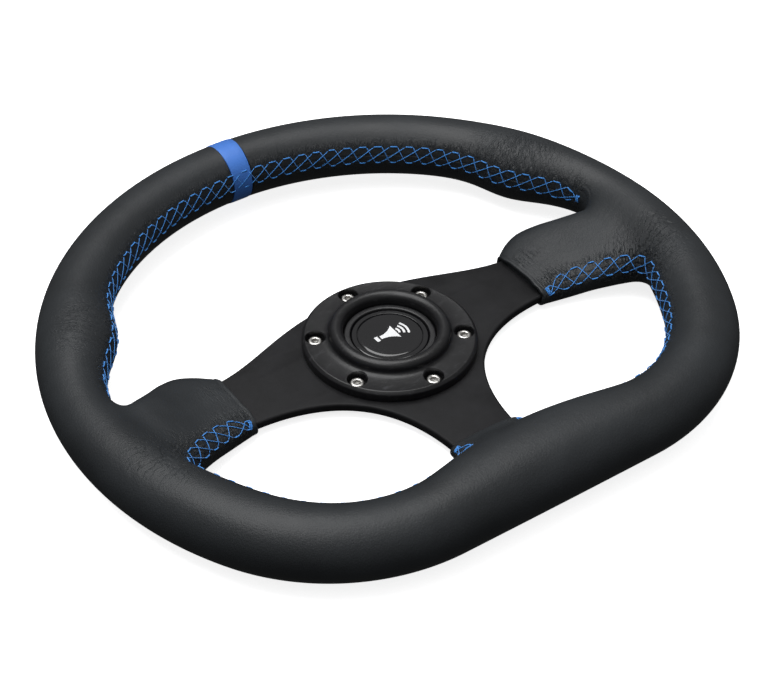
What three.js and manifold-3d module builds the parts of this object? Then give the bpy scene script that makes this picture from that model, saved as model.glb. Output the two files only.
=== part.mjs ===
// A D-shaped motorsport steering wheel with a horn button, as separate pieces.
// Units are millimetres. +Z points along the steering axis towards the driver, +Y is
// 12 o'clock and +X is 3 o'clock. The origin lies on the steering axis, in the plane
// of the spoke plate's back, which is the face that bolts to the hub.

import * as THREE from 'three';
import { mergeVertices } from 'three/addons/utils/BufferGeometryUtils.js';
import Module from 'manifold-3d';

const wasm = await Module();
wasm.setup();

// Driving dimensions
const GAP = 0.3; // clearance between pieces that touch

const BOLT_CIRCLE = 70; // six M5 screws, the usual pattern of aftermarket hubs
const BOLT_COUNT = 6;
const SCREW_SHANK = 2.5;
const SCREW_HEAD = 3.5;
const SCREW_HEAD_HEIGHT = 2.2;
const SCREW_SOCKET = 1.75;
const SCREW_END = -4;
const SCREW_HOLE = 2.9;
const COUNTERBORE = 4.7;

const PLATE_THICKNESS = 4.5;
const PLATE_BEVEL = 0.7;
const PLATE_BORE = 22.3;
const PLATE_TOP = 39.6; // plate edge at 12 o'clock
const ARM_REACH = 86; // where the flat plate ends inside the sleeves
const ARM_UPPER = 21;
const ARM_LOWER = -12;
const ARM_BOTTOM_REACH = 78;
const ARM_BOTTOM_HALF = 16.2;
const LINK_HALF = 11; // half width of the strips that join the plate to the hoop

const RIM_RADIUS = 145.3; // centre line of the round part of the rim
const RIM_FLAT = 116.6; // centre line of the flat part, below the axis
const RIM_CORNER = 86;
const RIM_STRETCH = 1.016; // how much wider than round the rim is
const RIM_Z = 17;
const GRIP = 15.4; // half thickness of the rim
const THUMB = { size: 3.0, angle: 62, spread: 8.5 };
const NECK = { size: -1.9, angle: 81, spread: 10 };
const PALM = { size: 1.4, angle: 118, spread: 18 };
const HEEL = { size: 4.6, angle: 180, spread: 31 };
const BULGE_LEAN = 1; // the part of a bulge that moves the section inwards
const BULGE_RISE = 0.6; // the part of a bulge that thickens it front to back
const HOOP = 6;
const LEATHER = 1.6;
const RIM_STEPS = 60;
const RIM_SIDES = 12;
const HOOP_SIDES = 6;

const BAND_HALF = 6; // the coloured band at 12 o'clock
const SEAM_ANGLE = 107; // where the upper and lower leather meet

const RING_RADIUS = 41.2;
const RING_TOP = 10;
const RING_CHAMFER = 1.1;
const LIP_OUTER = 28.6;
const LIP_INNER = 22;
const LIP_TOP = 15.6;
const FLANGE_TOP = 6.3; // the housing's flange, held down by the ring

const BASE_THICKNESS = 2.4;
const BASE_PAD = 6.5; // a pad on the base's back, level with the spoke plate's back
const BASE_PAD_HEIGHT = 0.4;
const HOUSING_RADIUS = 21.5;
const HOUSING_TOP = 10.4;
const HOUSING_FLANGE = 24;
const CAP_RADIUS = 18.2;
const CAP_TOP = 9.8;
const CAP_CROWN = 0.5;
const CAP_BOTTOM = 5;
const CAP_WALL = 1.4;
const EMBLEM_RADIUS = 15.4;
const EMBLEM_THICKNESS = 0.8;
const PLATE_CONTACT = 12.5;
const CONTACT_THICKNESS = 0.5;
const SPRING_RADIUS = 6.2;
const SPRING_WIRE = 0.5;
const SPRING_TURNS = 3;
const TERMINAL_OFFSET = 9;
const SLOT_HALF = 3.6; // half length of a terminal's slot
const RIVET_OFFSET = 3.6;
const RIVET_SHANK = 0.8;
const RIVET_HEAD = 1.3;

const ROUND = 36; // facets around the turned pieces

// Finishes
const finish = (color, roughness, metalness = 0) =>
  new THREE.MeshStandardMaterial({ color, roughness, metalness });
const FINISH = {
  leather: finish(0x26282b, 0.55),
  band: finish(0x3f78c8, 0.5),
  foam: finish(0x2b2b2b, 0.95),
  steel: finish(0x8c9095, 0.4, 1),
  plate: finish(0x17181a, 0.6, 0.6),
  ring: finish(0x131416, 0.35, 0.3),
  screw: finish(0xc9ccd0, 0.25, 1),
  plastic: finish(0x101113, 0.4),
  gloss: finish(0x08090a, 0.1),
  brass: finish(0xb08d3e, 0.35, 1),
};

// Solids
function toSolid(geometry) {
  const bare = geometry.index ? geometry.toNonIndexed() : geometry.clone();
  bare.deleteAttribute('normal');
  bare.deleteAttribute('uv');
  const welded = mergeVertices(bare, 1e-4);
  return new wasm.Manifold(new wasm.Mesh({
    numProp: 3,
    vertProperties: new Float32Array(welded.attributes.position.array),
    triVerts: new Uint32Array(welded.index.array),
  }));
}

function toMesh(name, solid, material) {
  const { vertProperties, triVerts } = solid.getMesh();
  const geometry = new THREE.BufferGeometry();
  geometry.setAttribute('position', new THREE.BufferAttribute(vertProperties, 3));
  geometry.setIndex(new THREE.BufferAttribute(triVerts, 1));
  geometry.computeVertexNormals();
  const mesh = new THREE.Mesh(geometry, material);
  mesh.name = name;
  return mesh;
}

const join = (solids) => solids.reduce((whole, solid) => whole.add(solid));

// A solid turned about the steering axis, from [radius, height] corners.
function turned(profile, facets = ROUND) {
  const points = profile.map(([r, z]) => new THREE.Vector2(r, z));
  const geometry = new THREE.LatheGeometry(points, facets);
  geometry.rotateX(Math.PI / 2);
  return toSolid(geometry);
}

const disc = (radius, low, high, facets = ROUND) =>
  turned([[0, low], [radius, low], [radius, high], [0, high]], facets);

const tube = (inner, outer, low, high) =>
  turned([[inner, low], [outer, low], [outer, high], [inner, high], [inner, low]]);

// A solid with straight sides, from an outline of [x, y] corners.
function prism(outline, low, high) {
  const shape = new THREE.Shape(outline.map(([x, y]) => new THREE.Vector2(x, y)));
  const geometry = new THREE.ExtrudeGeometry(shape, {
    depth: high - low, bevelEnabled: false,
  });
  geometry.translate(0, 0, low);
  return toSolid(geometry);
}

function block([x0, y0, z0], [x1, y1, z1]) {
  const geometry = new THREE.BoxGeometry(x1 - x0, y1 - y0, z1 - z0);
  geometry.translate((x0 + x1) / 2, (y0 + y1) / 2, (z0 + z1) / 2);
  return toSolid(geometry);
}

const boltPlaces = Array.from({ length: BOLT_COUNT }, (_, i) => {
  const angle = Math.PI / 2 - (i * 2 * Math.PI) / BOLT_COUNT;
  return [Math.cos(angle) * BOLT_CIRCLE / 2, Math.sin(angle) * BOLT_CIRCLE / 2];
});

const atRivets = (solid) =>
  join([-1, 1].map((side) => solid.translate([0, side * RIVET_OFFSET, 0])));

const atBolts = (solid) => join(boltPlaces.map(([x, y]) => solid.translate([x, y, 0])));

// The rim. Its centre line is a circle that two corner arcs join to a flat bottom.
function rimLine() {
  const cornerY = RIM_CORNER - RIM_FLAT;
  const cornerX = Math.sqrt((RIM_RADIUS - RIM_CORNER) ** 2 - cornerY ** 2);
  const turn = Math.atan2(cornerY, -cornerX);
  const end = turn < 0 ? turn + 2 * Math.PI : turn;
  const line = new THREE.Path();
  line.absarc(0, 0, RIM_RADIUS, Math.PI / 2, end, false);
  line.absarc(-cornerX, cornerY, RIM_CORNER, end, 1.5 * Math.PI, false);
  line.lineTo(cornerX, -RIM_FLAT);
  line.absarc(cornerX, cornerY, RIM_CORNER, -Math.PI / 2, Math.PI - end, false);
  line.absarc(0, 0, RIM_RADIUS, Math.PI - end, Math.PI / 2, false);
  return line;
}

const RIM_LINE = rimLine();

// How much thicker than GRIP the rim is, at an angle in degrees from 12 o'clock.
function bulge(angle) {
  const swell = ({ size, angle: centre, spread }) =>
    size * Math.exp(-(((Math.abs(angle) - centre) / spread) ** 2));
  return swell(THUMB) + swell(NECK) + swell(PALM) + swell(HEEL);
}

// A closed tube along the rim's line: the vertices of a torus are moved so that its long
// way follows the line. section gives how far out and up a vertex lies, from its angle
// around the tube and the line's angle in degrees from 12 o'clock.
function alongRim(sides, section) {
  const geometry = new THREE.TorusGeometry(2, 1, sides, RIM_STEPS);
  const { position, uv } = geometry.attributes;
  for (let i = 0; i < position.count; i += 1) {
    const along = uv.getX(i) % 1;
    const centre = RIM_LINE.getPointAt(along);
    const tangent = RIM_LINE.getTangentAt(along);
    const angle = THREE.MathUtils.radToDeg(Math.atan2(centre.x, centre.y));
    const [out, up] = section(uv.getY(i) * 2 * Math.PI, angle);
    const x = RIM_STRETCH * centre.x + tangent.y * out;
    position.setXYZ(i, x, centre.y - tangent.x * out, RIM_Z + up);
  }
  return toSolid(geometry);
}

// The rim's surface moved inwards by inset.
const rimSolid = (inset) =>
  alongRim(RIM_SIDES, (around, angle) => {
    const extra = bulge(angle);
    return [
      (GRIP + extra - inset) * Math.cos(around) - BULGE_LEAN * extra,
      (GRIP + BULGE_RISE * extra - inset) * Math.sin(around),
    ];
  });

const hoopSolid = (radius) =>
  alongRim(HOOP_SIDES, (around) => {
    const turned = around + Math.PI / HOOP_SIDES;
    return [radius * Math.cos(turned), radius * Math.sin(turned)];
  });

// The sleeves over the spokes. Each station is a rounded section: its reach from the
// axis, its middle and half width across the spoke, and its middle and half height.
const SIDE_SLEEVE = [
  [82, 4.5, 20.4, 2.5, 6.2],
  [90, 6.0, 22.6, 3.1, 7.2],
  [98, 5.8, 24.6, 4.4, 7.9],
  [110, 1.2, 25.4, 7.8, 9.2],
  [124, -5.4, 26.4, 12.0, 11.0],
  [138, -7.8, 28.0, 15.6, 9.4],
];
const BOTTOM_SLEEVE = [
  [72.5, 0, 19.6, 2.5, 6.0],
  [78, 0, 20.4, 3.4, 6.9],
  [85, 0, 22, 6.2, 8.4],
  [93, 0, 28, 10.4, 10.6],
  [101, 0, 40, 14.4, 12.6],
  [110, 0, 48, 16.6, 12.4],
];
const SECTION_POWER = 0.62; // 1 is an ellipse, and less is squarer

// side is 1 for the right spoke, -1 for the left one and 0 for the bottom one.
// inset moves the walls inwards, and mouth moves the open end towards the hub.
function sleeveSolid(stations, side, inset, mouth) {
  const rows = stations.length - 1;
  const geometry = new THREE.CylinderGeometry(1, 1, rows, RIM_SIDES, rows);
  const { position } = geometry.attributes;
  const square = (v) => Math.sign(v) * Math.abs(v) ** SECTION_POWER;
  for (let i = 0; i < position.count; i += 1) {
    const row = Math.round(rows / 2 - position.getY(i));
    const [reach, middle, half, height, thick] = stations[row];
    const along = row === 0 ? reach - mouth : reach;
    const across = middle + (half - inset) * square(position.getX(i));
    const up = (thick - inset) * square(position.getZ(i));
    if (side === 0) position.setXYZ(i, across, -along, height + up);
    else position.setXYZ(i, side * along, across, height + side * up);
  }
  return toSolid(geometry);
}

function wrapSolid(inset, mouth) {
  return join([
    rimSolid(inset),
    sleeveSolid(SIDE_SLEEVE, 1, inset, mouth),
    sleeveSolid(SIDE_SLEEVE, -1, inset, mouth),
    sleeveSolid(BOTTOM_SLEEVE, 0, inset, mouth),
  ]);
}

// The spoke plate: a flat blank with three arms, and a cranked strip on each arm that
// rises inside the sleeve to the hoop.
function blankShape() {
  const shape = new THREE.Shape();
  shape.moveTo(0, PLATE_TOP);
  shape.bezierCurveTo(-40, PLATE_TOP, -60, ARM_UPPER, -ARM_REACH, ARM_UPPER);
  shape.lineTo(-ARM_REACH, ARM_LOWER);
  shape.bezierCurveTo(-45, ARM_LOWER, -18, -31, -ARM_BOTTOM_HALF, -ARM_BOTTOM_REACH);
  shape.lineTo(ARM_BOTTOM_HALF, -ARM_BOTTOM_REACH);
  shape.bezierCurveTo(18, -31, 45, ARM_LOWER, ARM_REACH, ARM_LOWER);
  shape.lineTo(ARM_REACH, ARM_UPPER);
  shape.bezierCurveTo(60, ARM_UPPER, 40, PLATE_TOP, 0, PLATE_TOP);
  return shape;
}

const SIDE_LINK = [[78, 0], [98, 0], [118, 7.4], [132, 13], [140.7, 13]];
const BOTTOM_LINK = [[70, 0], [80, 0], [100, 13], [109.5, 13]];

// A strip with the given side view, from reach and height of its underside. A grown
// strip also runs on past its end, so that its slot opens into the hoop's channel.
function linkSolid(line, middle, grow) {
  const top = PLATE_THICKNESS + grow;
  const last = line.length - 1;
  const run = line.map(([reach, height], i) => [reach + (i === last ? 6 * grow : 0), height]);
  const under = run.map(([reach, height]) => [reach, height - grow]);
  const over = run.map(([reach, height]) => [reach, height + top]).reverse();
  const shape = new THREE.Shape([...under, ...over].map(([x, y]) => new THREE.Vector2(x, y)));
  const geometry = new THREE.ExtrudeGeometry(shape, {
    depth: 2 * (LINK_HALF + grow), bevelEnabled: false,
  });
  geometry.translate(0, 0, -LINK_HALF - grow);
  geometry.rotateX(Math.PI / 2);
  geometry.translate(0, middle, 0);
  return toSolid(geometry);
}

function linkSolids(grow) {
  const middle = (ARM_UPPER + ARM_LOWER) / 2;
  const right = linkSolid(SIDE_LINK, middle, grow);
  return [
    right,
    linkSolid(SIDE_LINK, -middle, grow).rotate([0, 0, 180]),
    linkSolid(BOTTOM_LINK, 0, grow).rotate([0, 0, -90]),
  ];
}

function plateSolid(grow) {
  const bevel = PLATE_BEVEL;
  const geometry = new THREE.ExtrudeGeometry(blankShape(), {
    depth: PLATE_THICKNESS - 2 * bevel + 2 * grow,
    bevelThickness: bevel,
    bevelSize: bevel,
    bevelOffset: grow - bevel,
    bevelSegments: 1,
    curveSegments: 16,
  });
  geometry.translate(0, 0, bevel - grow);
  return join([toSolid(geometry), ...linkSolids(grow)]);
}

function spokePlate() {
  const bore = disc(PLATE_BORE, -1, PLATE_THICKNESS + 1);
  const holes = atBolts(disc(SCREW_HOLE, -1, PLATE_THICKNESS + 1, 10));
  return toMesh('spoke_plate', plateSolid(0).subtract(bore).subtract(holes), FINISH.plate);
}

// Rim: a steel hoop in a foam core, covered by leather panels and a coloured band.
function rimParts() {
  const cut = join([hoopSolid(HOOP + GAP), plateSolid(GAP)]);
  const foam = wrapSolid(LEATHER + GAP, -1).subtract(cut);
  const cover = wrapSolid(0, 0).subtract(wrapSolid(LEATHER, 6));

  const far = 2 * RIM_RADIUS; // past the whole wheel
  const slope = Math.tan(THREE.MathUtils.degToRad(SEAM_ANGLE - 90));
  const half = GAP / 2;
  const edge = BAND_HALF + half;
  const upper = (side) => [
    [side * edge, half - edge * slope], [side * far, half - far * slope],
    [side * far, far], [side * edge, far],
  ];
  const lower = [
    [0, -half], [-far, -half - far * slope], [-far, -far], [far, -far],
    [far, -half - far * slope],
  ];
  const deep = -far;
  const high = far;
  const inner = BAND_HALF - half;
  const panel = (name, outline, material = FINISH.leather) =>
    toMesh(name, cover.intersect(prism(outline, deep, high)), material);
  return [
    toMesh('rim_hoop', hoopSolid(HOOP), FINISH.steel),
    toMesh('rim_foam_core', foam, FINISH.foam),
    panel('leather_upper_right', upper(1)),
    panel('leather_upper_left', upper(-1).reverse()),
    panel('leather_lower', lower),
    panel('center_band', [[-inner, 0], [inner, 0], [inner, far], [-inner, far]], FINISH.band),
  ];
}

// The ring that clamps the horn button: a flange with six screw holes and a raised lip.
function hornRing() {
  const seat = PLATE_THICKNESS + GAP;
  const pocket = HOUSING_FLANGE + GAP;
  const middle = (LIP_OUTER + LIP_INNER) / 2;
  const roll = (LIP_OUTER - LIP_INNER) / 2;
  const springing = LIP_TOP - roll;
  const arch = Array.from({ length: 7 }, (_, i) => {
    const angle = (i * Math.PI) / 6;
    return [middle + roll * Math.cos(angle), springing + roll * Math.sin(angle)];
  });
  const body = turned([
    [pocket, seat],
    [RING_RADIUS, seat],
    [RING_RADIUS, RING_TOP - RING_CHAMFER],
    [RING_RADIUS - RING_CHAMFER, RING_TOP],
    [LIP_OUTER + 1, RING_TOP],
    ...arch,
    [LIP_INNER, FLANGE_TOP + GAP],
    [pocket, FLANGE_TOP + GAP],
    [pocket, seat],
  ]);
  const floor = seat + 1;
  const pockets = atBolts(disc(COUNTERBORE, floor, RING_TOP + 1, 14));
  const holes = atBolts(disc(SCREW_HOLE, 0, RING_TOP, 10));
  return toMesh('horn_ring', body.subtract(pockets).subtract(holes), FINISH.ring);
}

// Hub screws: low round heads with a hexagon socket.
function hubScrews() {
  const seat = PLATE_THICKNESS + 2 * GAP + 1;
  const top = seat + SCREW_HEAD_HEIGHT;
  const body = turned([
    [0, SCREW_END],
    [SCREW_SHANK - 0.5, SCREW_END],
    [SCREW_SHANK, SCREW_END + 0.5],
    [SCREW_SHANK, seat],
    [SCREW_HEAD, seat],
    [SCREW_HEAD, top - 0.9],
    [SCREW_HEAD - 0.5, top - 0.3],
    [SCREW_HEAD - 1.1, top],
    [0, top],
  ], 14);
  const screw = body.subtract(disc(SCREW_SOCKET, top - 1.5, top + 1, 6));
  return boltPlaces.map(([x, y], i) =>
    toMesh(`hub_screw_${i + 1}`, screw.translate([x, y, 0]), FINISH.screw));
}

// Horn button: a base and a housing that stand still, and a sprung cap.
function hornBase() {
  const body = turned([
    [0, 0],
    [BASE_PAD, 0],
    [BASE_PAD, BASE_PAD_HEIGHT],
    [PLATE_BORE - 2 * GAP, BASE_PAD_HEIGHT],
    [PLATE_BORE - 2 * GAP, BASE_THICKNESS],
    [0, BASE_THICKNESS],
  ]);
  const slots = join([-1, 1].map((side) => block(
    [side * TERMINAL_OFFSET - 1, -SLOT_HALF, -1],
    [side * TERMINAL_OFFSET + 1, SLOT_HALF, BASE_THICKNESS + 1],
  )));
  const holes = atRivets(join([
    disc(RIVET_SHANK + GAP, -1, BASE_THICKNESS + 1, 8),
    disc(RIVET_HEAD + GAP, -1, 1, 8),
  ]));
  return toMesh('horn_base', body.subtract(slots).subtract(holes), FINISH.plastic);
}

function hornHousing() {
  const foot = BASE_THICKNESS + GAP;
  const seat = PLATE_THICKNESS + GAP;
  const step = CAP_BOTTOM + 1.1;
  const wide = CAP_RADIUS + 1.4;
  const bore = CAP_RADIUS + 0.4;
  const body = turned([
    [wide, foot],
    [HOUSING_RADIUS, foot],
    [HOUSING_RADIUS, seat],
    [HOUSING_FLANGE, seat],
    [HOUSING_FLANGE, FLANGE_TOP],
    [HOUSING_RADIUS, FLANGE_TOP],
    [HOUSING_RADIUS, HOUSING_TOP - 0.5],
    [HOUSING_RADIUS - 0.5, HOUSING_TOP],
    [bore + 0.4, HOUSING_TOP],
    [bore, HOUSING_TOP - 0.4],
    [bore, step],
    [wide, step],
    [wide, foot],
  ]);
  return toMesh('horn_housing', body, FINISH.plastic);
}

// Two rivets hold the fixed contact plate to the base, inside the spring.
function contactRivets() {
  const low = 0.1;
  const top = BASE_THICKNESS + 2 * GAP + CONTACT_THICKNESS;
  const rivet = turned([
    [0, low],
    [RIVET_HEAD, low],
    [RIVET_HEAD, 0.7],
    [RIVET_SHANK, 0.7],
    [RIVET_SHANK, top],
    [RIVET_HEAD, top],
    [RIVET_HEAD, top + 0.5],
    [0, top + 0.5],
  ], 8);
  return [['upper', 1], ['lower', -1]].map(([place, side]) =>
    toMesh(`contact_rivet_${place}`, rivet.translate([0, side * RIVET_OFFSET, 0]), FINISH.brass));
}

function hornCap() {
  const under = CAP_TOP - CAP_WALL - EMBLEM_THICKNESS;
  const recess = CAP_TOP - EMBLEM_THICKNESS - 0.1;
  const rim = EMBLEM_RADIUS + 0.3;
  const lip = CAP_RADIUS + 1;
  return toMesh('horn_cap', turned([
    [0, under],
    [CAP_RADIUS - CAP_WALL, under],
    [CAP_RADIUS - CAP_WALL, CAP_BOTTOM],
    [lip, CAP_BOTTOM],
    [lip, CAP_BOTTOM + 0.8],
    [CAP_RADIUS, CAP_BOTTOM + 0.8],
    [CAP_RADIUS, CAP_TOP - 0.6],
    [CAP_RADIUS - 0.6, CAP_TOP],
    [rim, CAP_TOP],
    [rim, recess],
    [0, recess],
  ]), FINISH.gloss);
}

function capEmblem() {
  const low = CAP_TOP - EMBLEM_THICKNESS + 0.2;
  const crown = Array.from({ length: 4 }, (_, i) => {
    const part = 1 - i / 3;
    return [EMBLEM_RADIUS * part, CAP_TOP + CAP_CROWN * (1 - part * part)];
  });
  return toMesh('cap_emblem', turned([[0, low], [EMBLEM_RADIUS, low], ...crown]), FINISH.gloss);
}

function contacts() {
  const fixedLow = BASE_THICKNESS + GAP;
  const movingLow = CAP_BOTTOM + 0.1;
  const slots = join([-1, 1].map((side) => block(
    [side * TERMINAL_OFFSET - 1, -3.6, fixedLow - 1],
    [side * TERMINAL_OFFSET + 1, 3.6, fixedLow + 2],
  )));
  const fixed = disc(PLATE_CONTACT, fixedLow, fixedLow + CONTACT_THICKNESS)
    .subtract(slots)
    .subtract(atRivets(disc(RIVET_SHANK + GAP, 0, 9, 8)));
  const moving = tube(SPRING_RADIUS + 1.6, CAP_RADIUS - CAP_WALL - 0.4,
    movingLow, movingLow + CONTACT_THICKNESS);
  return [
    toMesh('contact_plate_fixed', fixed, FINISH.brass),
    toMesh('contact_plate_moving', moving, FINISH.brass),
  ];
}

// Flag terminals: a leg through the base and a blade that lies along its back.
function terminals() {
  const legTop = BASE_THICKNESS + GAP + CONTACT_THICKNESS;
  return [['right', 1], ['left', -1]].map(([place, side]) => {
    const x = side * TERMINAL_OFFSET;
    const leg = block([x - 0.4, -3.15, -2.2], [x + 0.4, 3.15, legTop]);
    const near = x - side * 0.4;
    const tip = x + side * 9;
    const blade = block([Math.min(near, tip), -3.15, -2.2], [Math.max(near, tip), 3.15, -1.4]);
    return toMesh(`terminal_${place}`, leg.add(blade), FINISH.brass);
  });
}

// A coil spring between the fixed contact plate and the underside of the cap.
class Coil extends THREE.Curve {
  constructor(radius, low, high, turns) {
    super();
    Object.assign(this, { radius, low, high, turns });
  }

  getPoint(t, target = new THREE.Vector3()) {
    const angle = t * this.turns * 2 * Math.PI;
    const height = this.low + (this.high - this.low) * t;
    return target.set(this.radius * Math.cos(angle), this.radius * Math.sin(angle), height);
  }
}

const springLow = BASE_THICKNESS + 2 * GAP + CONTACT_THICKNESS;
const springHigh = CAP_TOP - CAP_WALL - EMBLEM_THICKNESS - GAP;

function hornSpring() {
  const coil = new Coil(SPRING_RADIUS, springLow + SPRING_WIRE, springHigh - SPRING_WIRE,
    SPRING_TURNS);
  const section = Array.from({ length: 5 }, (_, i) => new THREE.Vector2(
    SPRING_WIRE * Math.cos(i * 0.4 * Math.PI), SPRING_WIRE * Math.sin(i * 0.4 * Math.PI),
  ));
  const geometry = new THREE.ExtrudeGeometry(new THREE.Shape(section), {
    steps: SPRING_TURNS * 11, extrudePath: coil,
  });
  return toMesh('horn_spring', toSolid(geometry), FINISH.steel);
}

const group = new THREE.Group();
group.add(
  spokePlate(),
  ...rimParts(),
  hornRing(),
  ...hubScrews(),
  hornBase(),
  hornHousing(),
  ...contactRivets(),
  hornCap(),
  capEmblem(),
  ...contacts(),
  ...terminals(),
  hornSpring(),
);

export default group;
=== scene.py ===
import math
from contextlib import contextmanager

import bpy
import bmesh
import numpy as np
from mathutils import Matrix, Vector


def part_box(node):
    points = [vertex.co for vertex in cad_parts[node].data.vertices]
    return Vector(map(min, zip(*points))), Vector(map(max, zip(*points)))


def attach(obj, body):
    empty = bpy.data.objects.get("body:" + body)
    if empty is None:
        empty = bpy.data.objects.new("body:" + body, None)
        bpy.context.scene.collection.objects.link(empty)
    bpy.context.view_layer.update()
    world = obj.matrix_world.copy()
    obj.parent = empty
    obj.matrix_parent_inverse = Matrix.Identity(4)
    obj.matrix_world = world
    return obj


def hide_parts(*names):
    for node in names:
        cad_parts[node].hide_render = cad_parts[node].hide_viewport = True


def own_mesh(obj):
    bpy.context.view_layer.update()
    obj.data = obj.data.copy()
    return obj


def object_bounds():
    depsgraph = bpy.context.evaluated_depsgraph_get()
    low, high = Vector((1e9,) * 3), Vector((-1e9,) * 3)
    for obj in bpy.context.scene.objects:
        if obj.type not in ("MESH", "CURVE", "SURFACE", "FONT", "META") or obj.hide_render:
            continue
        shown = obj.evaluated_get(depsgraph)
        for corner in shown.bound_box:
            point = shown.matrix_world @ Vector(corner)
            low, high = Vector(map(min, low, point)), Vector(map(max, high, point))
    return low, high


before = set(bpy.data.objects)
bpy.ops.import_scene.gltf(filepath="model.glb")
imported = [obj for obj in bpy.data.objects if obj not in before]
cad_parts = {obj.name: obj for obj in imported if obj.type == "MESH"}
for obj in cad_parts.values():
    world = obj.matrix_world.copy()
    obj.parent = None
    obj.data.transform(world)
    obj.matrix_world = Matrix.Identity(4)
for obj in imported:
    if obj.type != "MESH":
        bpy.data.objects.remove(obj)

bl_info = {
    "name": "Leather Steering Wheel",
    "version": (1, 0, 0),
    "blender": (4, 5, 0),
    "location": "View3D > Sidebar > Steering Wheel",
    "description": "Builds a laced leather steering wheel around its plate, ring and button",
    "category": "Add Mesh",
}

MM = 0.001
CAD_BOX = [list(corner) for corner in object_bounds()]
WHEEL = "wheel"
BUTTON = "horn_button"


def low(node):
    """Lowest corner of a frame node in millimetres."""
    return np.array(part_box(node)[0]) / MM


def high(node):
    """Highest corner of a frame node in millimetres."""
    return np.array(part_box(node)[1]) / MM


# ---------------------------------------------------------------- properties


def number_property(name, description, default, **options):
    return bpy.props.FloatProperty(
        name=name, description=description, default=default, **options)


def angle_property(name, description, degrees):
    return number_property(name, description, math.radians(degrees), subtype="ANGLE")


def color_property(name, description, default):
    return bpy.props.FloatVectorProperty(
        name=name, description=description, default=default, subtype="COLOR")


class WheelSizes(bpy.types.PropertyGroup):
    """Sizes of the rim, the sleeves and the lacing, in millimetres."""

    rim_radius: number_property("Rim radius", "Centre line of the round part of the rim", 145.3)
    rim_flat: number_property("Rim flat", "Centre line of the flat part, below the axis", 116.6)
    rim_corner: number_property("Rim corner", "Corner radius between round and flat", 86.0)
    rim_stretch: number_property("Rim stretch", "How much wider than round the rim is", 1.016)
    rim_height: number_property("Rim height", "Centre line above the plate's back", 17.0)
    grip: number_property("Grip", "Half thickness of the rim", 15.4)
    voxel: number_property("Mesh step", "Spacing of the leather's mesh", 1.15)
    stitch_pitch: number_property("Stitch pitch", "Distance from one stitch to the next", 8.0)
    stitch_width: number_property("Stitch width", "Distance between the two rows of stitches", 8.8)
    thread: number_property("Thread", "Thickness of the thread", 0.5)


class WheelFinishes(bpy.types.PropertyGroup):
    """Colours of the leather, the thread and the paint."""

    leather: color_property("Leather", "Colour of the rim's leather", (0.016, 0.0185, 0.021))
    band: color_property("Band", "Colour of the band at 12 o'clock", (0.055, 0.19, 0.62))
    thread: color_property("Thread", "Colour of the lacing", (0.04, 0.30, 1.0))
    plate: color_property("Plate", "Colour of the spoke plate's paint", (0.011, 0.011, 0.012))
    ring: color_property("Ring", "Colour of the clamp ring's paint", (0.008, 0.008, 0.009))


class StageSettings(bpy.types.PropertyGroup):
    """Where the camera stands."""

    azimuth: angle_property("Azimuth", "Camera angle round the wheel", -35.8)
    elevation: angle_property("Elevation", "Camera angle above the floor", 40.8)
    roll: angle_property("Roll", "Camera turned about its own line of sight", 1.3)
    distance: number_property("Distance", "Camera to the hub", 0.860, unit="LENGTH")
    lens: number_property("Lens", "Focal length in millimetres", 84.4)


# ---------------------------------------------------------------- mesh tools


def new_object(name, data):
    """A new object with that data, in the scene."""
    obj = bpy.data.objects.new(name, data)
    bpy.context.scene.collection.objects.link(obj)
    return obj


@contextmanager
def edited(mesh):
    """The mesh opened for bmesh edits, which are written back at the end."""
    work = bmesh.new()
    work.from_mesh(mesh)
    yield work
    work.to_mesh(mesh)
    work.free()


def read_points(mesh):
    """A mesh's vertices in millimetres."""
    flat = np.empty(len(mesh.vertices) * 3)
    mesh.vertices.foreach_get("co", flat)
    return flat.reshape(-1, 3) / MM


def write_points(mesh, points):
    mesh.vertices.foreach_set("co", (points * MM).ravel())
    mesh.update()


def mesh_object(name, vertices, faces, smooth=True, uv=None):
    """A new object from vertices in millimetres and faces as index rows."""
    mesh = bpy.data.meshes.new(name)
    mesh.from_pydata((np.asarray(vertices, float) * MM).tolist(), [], faces)
    if uv is not None:
        layer = mesh.uv_layers.new(name="UVMap")
        loops = np.empty(len(mesh.loops), dtype=np.int32)
        mesh.loops.foreach_get("vertex_index", loops)
        layer.data.foreach_set("uv", np.asarray(uv, dtype=np.float32)[loops].ravel())
    mesh.polygons.foreach_set("use_smooth", np.full(len(mesh.polygons), smooth))
    mesh.update()
    return new_object(name, mesh)


def grid_faces(rows, columns, close_rows, close_columns):
    """Quads of a grid of points; a closed direction joins its last line to its first."""
    i = np.arange(rows if close_rows else rows - 1)
    j = np.arange(columns if close_columns else columns - 1)
    i, j = np.meshgrid(i, j, indexing="ij")
    i2, j2 = (i + 1) % rows, (j + 1) % columns
    quads = np.stack([i * columns + j, i * columns + j2, i2 * columns + j2, i2 * columns + j], -1)
    return quads.reshape(-1, 4).tolist()


def orient(obj):
    """Turns all faces outwards."""
    with edited(obj.data) as work:
        bmesh.ops.remove_doubles(work, verts=work.verts, dist=1e-7)
        bmesh.ops.recalc_face_normals(work, faces=work.faces)
    return obj


def turned(name, profile, steps=160):
    """A surface of revolution: the closed [radius, height] profile goes round the axis."""
    profile = np.asarray(profile, float)
    angle = np.linspace(0, 2 * np.pi, steps, endpoint=False)[:, None]
    points = np.stack([
        profile[:, 0] * np.cos(angle), profile[:, 0] * np.sin(angle),
        np.broadcast_to(profile[:, 1], (steps, len(profile))),
    ], -1)
    obj = mesh_object(name, points.reshape(-1, 3), grid_faces(steps, len(profile), True, True))
    return orient(obj)


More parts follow.
